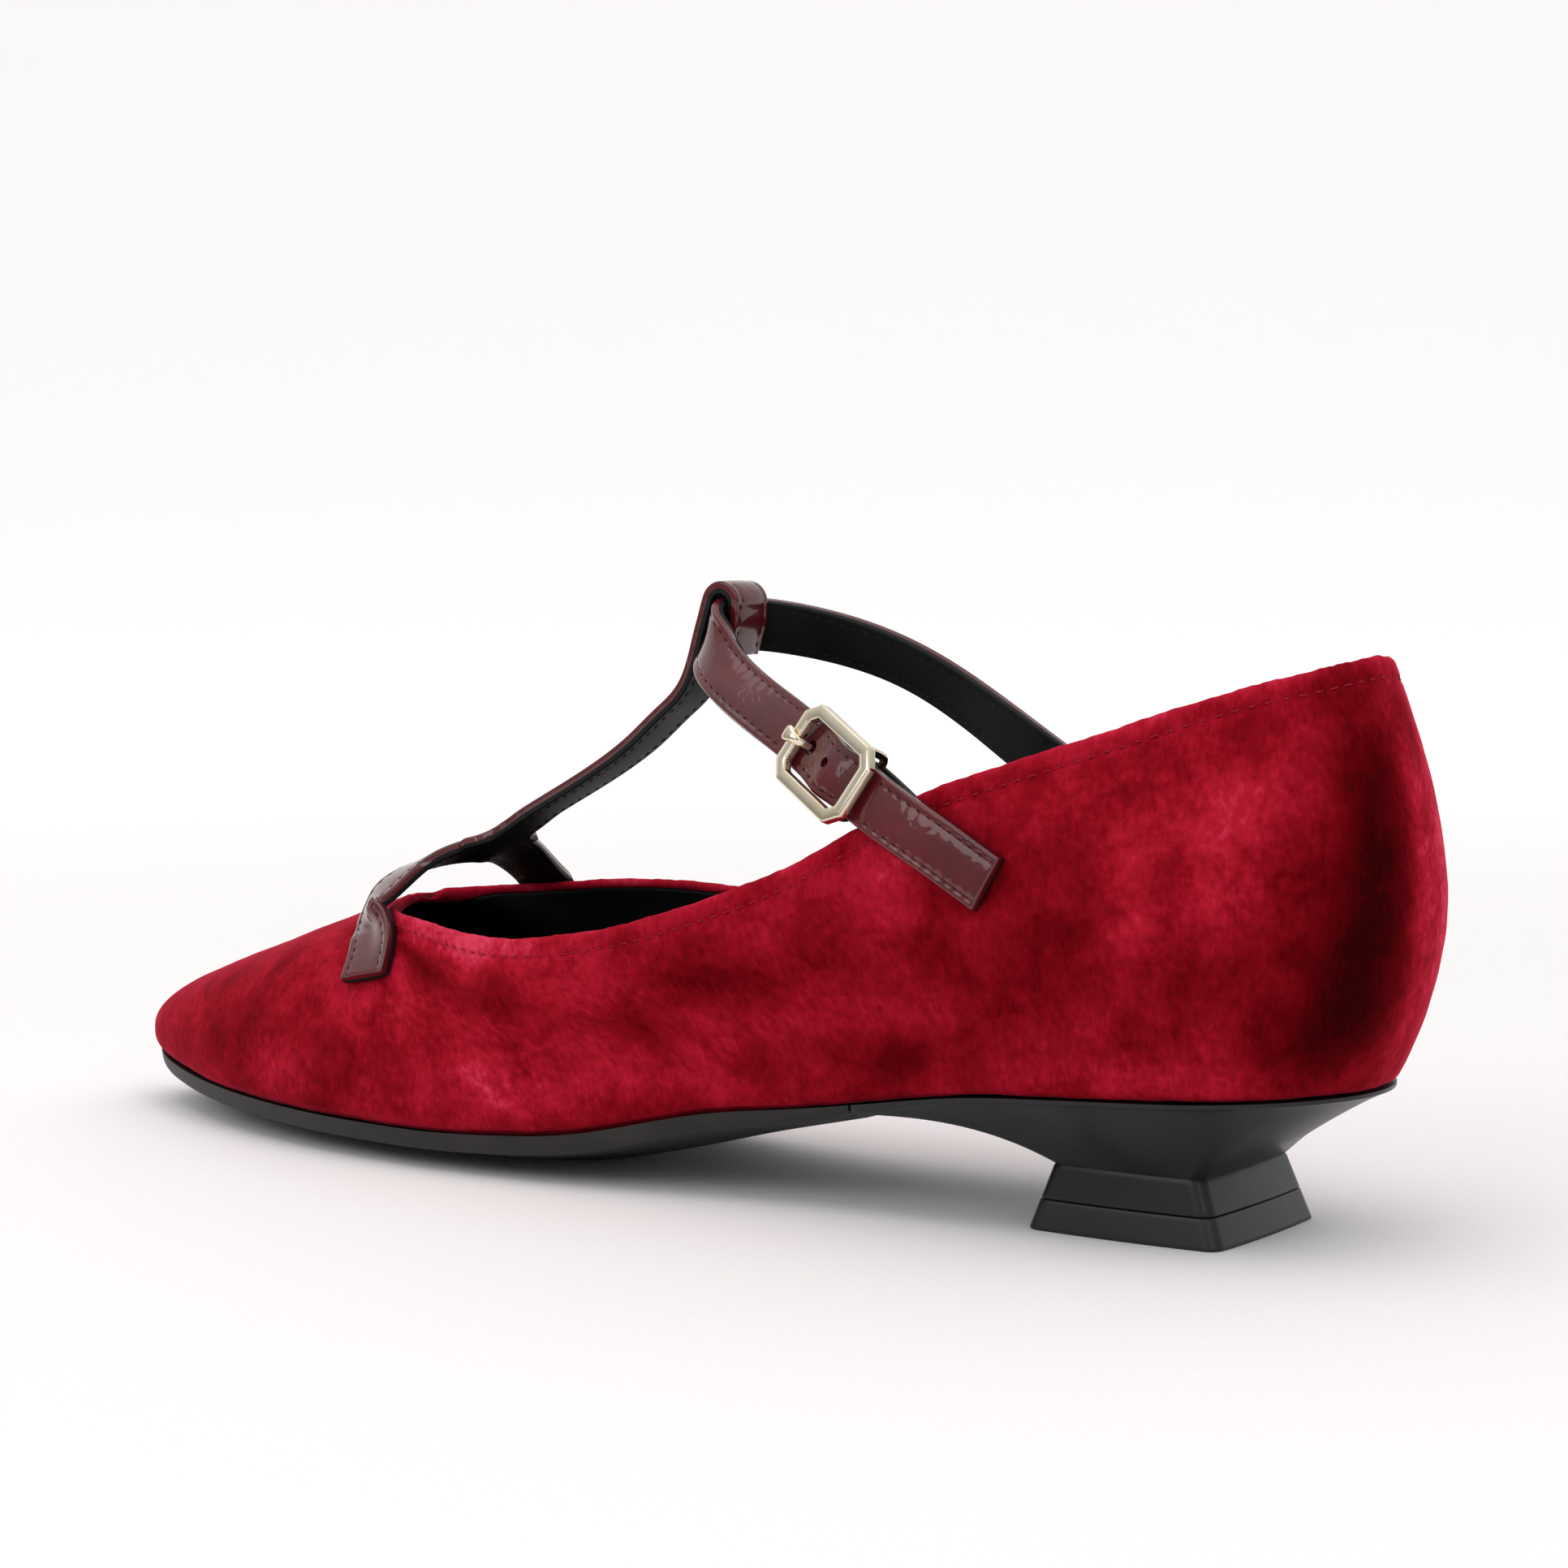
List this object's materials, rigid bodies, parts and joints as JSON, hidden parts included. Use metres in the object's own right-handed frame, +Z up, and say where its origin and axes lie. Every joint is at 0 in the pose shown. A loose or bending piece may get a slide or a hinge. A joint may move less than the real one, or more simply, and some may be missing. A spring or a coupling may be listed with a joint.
{
  "type": "mary jane pump",
  "caption": "Pointed velvet T-bar mary jane pump with buckled patent instep strap and a low flared kitten heel, left shoe.",
  "frame": {"origin": "middle of the shoe's bounding box in plan, on the floor that the shoe stands on", "axes": "+Z up, the toe points to -X and the heel to +X, the outer (lateral) side of the foot is -Y"},
  "size_m": [0.2664, 0.0696, 0.1],
  "materials": {
    "velvet": "crimson crushed velvet, short pile",
    "patent": "burgundy patent leather, high gloss",
    "lining": "black kid leather, matte",
    "rubber": "black rubber, fine grain",
    "heel_plastic": "matte black moulded plastic",
    "gold": "pale gold plating, polished"
  },
  "bodies": {
    "root": {"upper": "velvet", "outsole": "rubber", "insole": "lining", "heel": "heel_plastic", "top_lift": "rubber", "t_bar": "patent", "instep_strap": "patent", "buckle_strap": "lining", "buckle_frame": "gold", "buckle_prong": "gold"}
  },
  "joints": []
}
